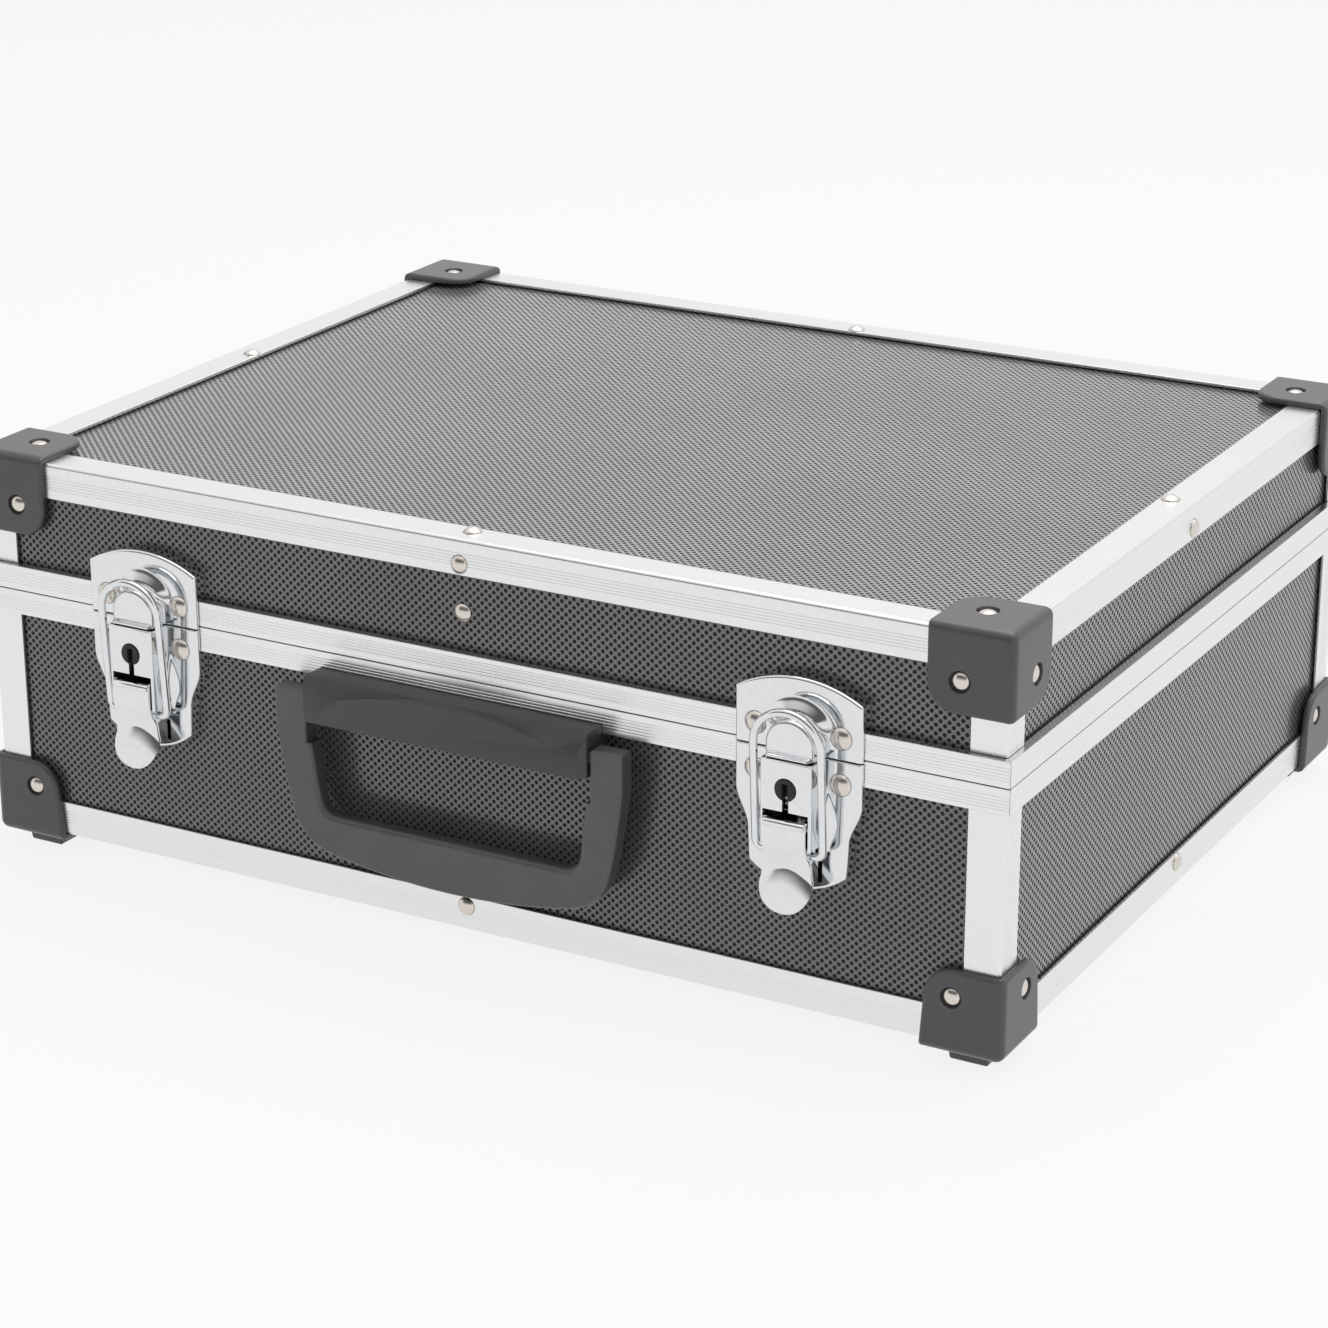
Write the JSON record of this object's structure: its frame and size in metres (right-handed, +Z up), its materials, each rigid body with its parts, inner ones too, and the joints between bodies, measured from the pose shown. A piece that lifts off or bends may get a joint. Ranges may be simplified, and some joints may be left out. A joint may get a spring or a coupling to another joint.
{
  "type": "microphone case",
  "caption": "Hard microphone case: laminated walls in aluminium edging, moulded corner caps, locking draw latches, folding handle and hinged lid over cut foam.",
  "frame": {"origin": "On the surface that the feet stand on, under the middle of the overall width and depth with the lid shut.", "axes": "+X along the width, to the right of someone who faces the latches; +Y from the latches to the hinges; +Z up."},
  "size_m": [0.4352, 0.3546, 0.1644],
  "materials": {
    "laminate": "dark grey dimpled laminate",
    "aluminium": "satin ribbed extrusion",
    "cap_plastic": "charcoal moulded, fine grain",
    "handle_plastic": "charcoal moulded, satin",
    "latch_nickel": "polished nickel plate",
    "rivet_nickel": "polished nickel plate",
    "hinge_steel": "zinc plated",
    "lock_black": "black, satin",
    "foam": "charcoal open-cell foam"
  },
  "bodies": {
    "base": {"base_panel_front": "laminate", "base_panel_back": "laminate", "base_panel_left": "laminate", "base_panel_right": "laminate", "base_panel_bottom": "laminate", "base_profile_front": "aluminium", "base_profile_back": "aluminium", "base_profile_left": "aluminium", "base_profile_right": "aluminium", "base_posts": "aluminium", "base_rim_front": "aluminium", "base_rim_back": "aluminium", "base_rim_left": "aluminium", "base_rim_right": "aluminium", "base_caps": "cap_plastic", "base_rivets": "rivet_nickel", "handle_mount": "handle_plastic", "handle_pins": "hinge_steel", "foam_pad": "foam", "foam_insert": "foam", "lock_plates": "latch_nickel", "lever_pins": "latch_nickel", "hinge_base_leaves": "hinge_steel", "hinge_pins": "hinge_steel"},
    "lid": {"lid_panel_front": "laminate", "lid_panel_back": "laminate", "lid_panel_left": "laminate", "lid_panel_right": "laminate", "lid_panel_top": "laminate", "lid_profile_front": "aluminium", "lid_profile_back": "aluminium", "lid_profile_left": "aluminium", "lid_profile_right": "aluminium", "lid_posts": "aluminium", "lid_rim_front": "aluminium", "lid_rim_back": "aluminium", "lid_rim_left": "aluminium", "lid_rim_right": "aluminium", "lid_caps": "cap_plastic", "lid_rivets": "rivet_nickel", "keepers": "latch_nickel", "hinge_lid_leaves": "hinge_steel", "lid_foam": "foam"},
    "handle": {"handle_loop": "handle_plastic"},
    "lever_left": {"latch_lever_left": "latch_nickel"},
    "bail_left": {"latch_bail_left": "latch_nickel"},
    "plug_left": {"lock_plug_left": "lock_black"},
    "lever_right": {"latch_lever_right": "latch_nickel"},
    "bail_right": {"latch_bail_right": "latch_nickel"},
    "plug_right": {"lock_plug_right": "lock_black"}
  },
  "joints": [
    {"name": "lid_hinge", "type": "hinge", "parent": "base", "child": "lid", "pos_m": [0, 0.17435, 0.1093], "axis": [-1, 0, 0], "range_deg": [0, 95]},
    {"name": "handle_swing", "type": "hinge", "parent": "base", "child": "handle", "pos_m": [0, -0.1701, 0.0923], "axis": [-1, 0, 0], "range_deg": [0, 90]},
    {"name": "lever_left_turn", "type": "hinge", "parent": "base", "child": "lever_left", "pos_m": [-0.1387, -0.17285, 0.0838], "axis": [-1, 0, 0], "range_deg": [0, 110]},
    {"name": "bail_left_turn", "type": "hinge", "parent": "lever_left", "child": "bail_left", "pos_m": [-0.1387, -0.17115, 0.0733], "axis": [-1, 0, 0], "range_deg": [-110, 0]},
    {"name": "plug_left_turn", "type": "hinge", "parent": "base", "child": "plug_left", "pos_m": [-0.1387, -0.1728, 0.0975], "axis": [0, -1, 0], "range_deg": [0, 90]},
    {"name": "lever_right_turn", "type": "hinge", "parent": "base", "child": "lever_right", "pos_m": [0.1387, -0.17285, 0.0838], "axis": [-1, 0, 0], "range_deg": [0, 110]},
    {"name": "bail_right_turn", "type": "hinge", "parent": "lever_right", "child": "bail_right", "pos_m": [0.1387, -0.17115, 0.0733], "axis": [-1, 0, 0], "range_deg": [-110, 0]},
    {"name": "plug_right_turn", "type": "hinge", "parent": "base", "child": "plug_right", "pos_m": [0.1387, -0.1728, 0.0975], "axis": [0, -1, 0], "range_deg": [0, 90]}
  ],
  "couplings": [
    {"joint": "bail_left_turn", "follows": "lever_left_turn", "ratio": -1},
    {"joint": "bail_right_turn", "follows": "lever_right_turn", "ratio": -1}
  ]
}
